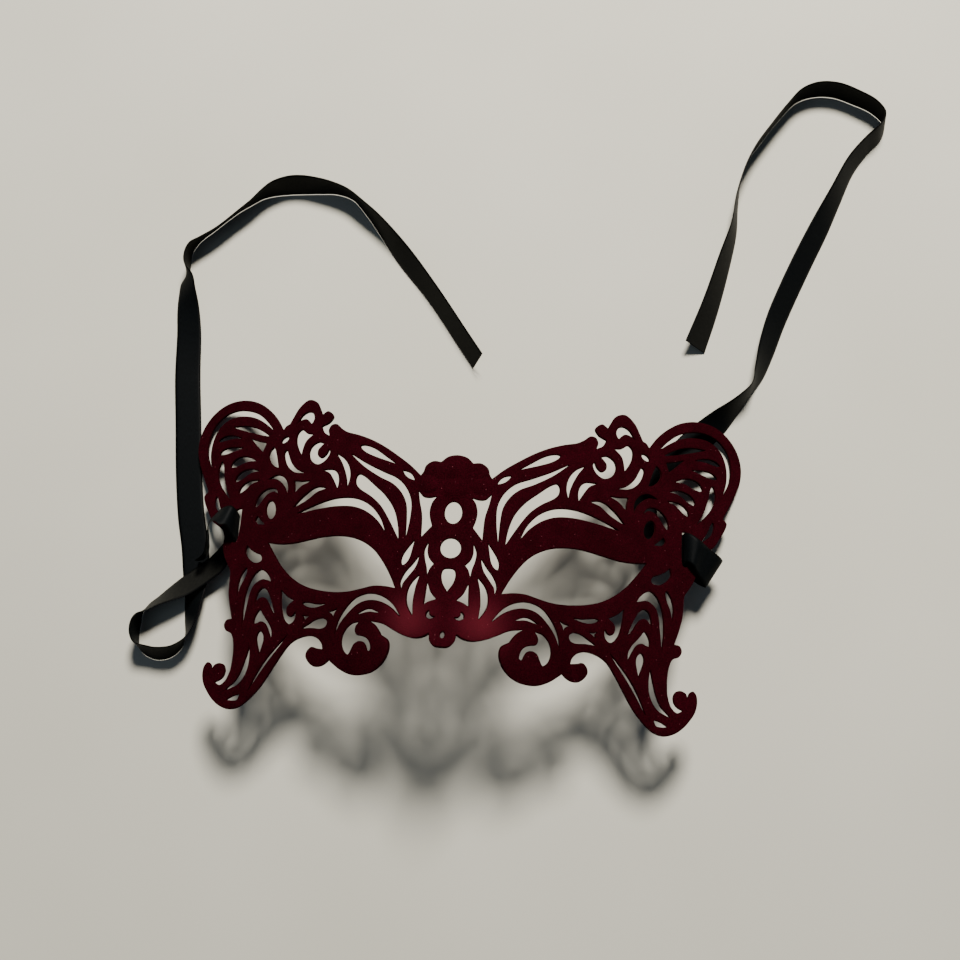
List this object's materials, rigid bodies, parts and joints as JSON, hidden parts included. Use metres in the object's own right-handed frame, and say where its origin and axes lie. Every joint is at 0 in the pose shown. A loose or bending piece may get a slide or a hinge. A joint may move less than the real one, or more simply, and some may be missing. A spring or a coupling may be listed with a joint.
{
  "type": "masquerade mask",
  "caption": "Filigree masquerade half mask: a moulded, flocked sheet cut in scrolls, with almond eye openings and a satin ribbon tie looped through a slot on each side.",
  "frame": {"origin": "centre of the mask sheet's bounding box in X and Y, on the surface that the mask lies on", "axes": "+X across the mask towards its right side as seen from the front, +Y up towards the forehead, +Z out of the face, away from the surface"},
  "size_m": [0.285, 0.2656, 0.0604],
  "materials": {
    "flock": "burgundy velvet flock on a moulded plastic sheet",
    "satin": "black double-faced satin ribbon"
  },
  "bodies": {
    "root": {"mask_sheet": "flock", "left_tie_tail": "satin", "left_tie_loop": "satin", "left_tie_slot_turn": "satin", "right_tie_slot_fold": "satin", "right_tie_run": "satin", "right_tie_tail": "satin"}
  },
  "joints": []
}
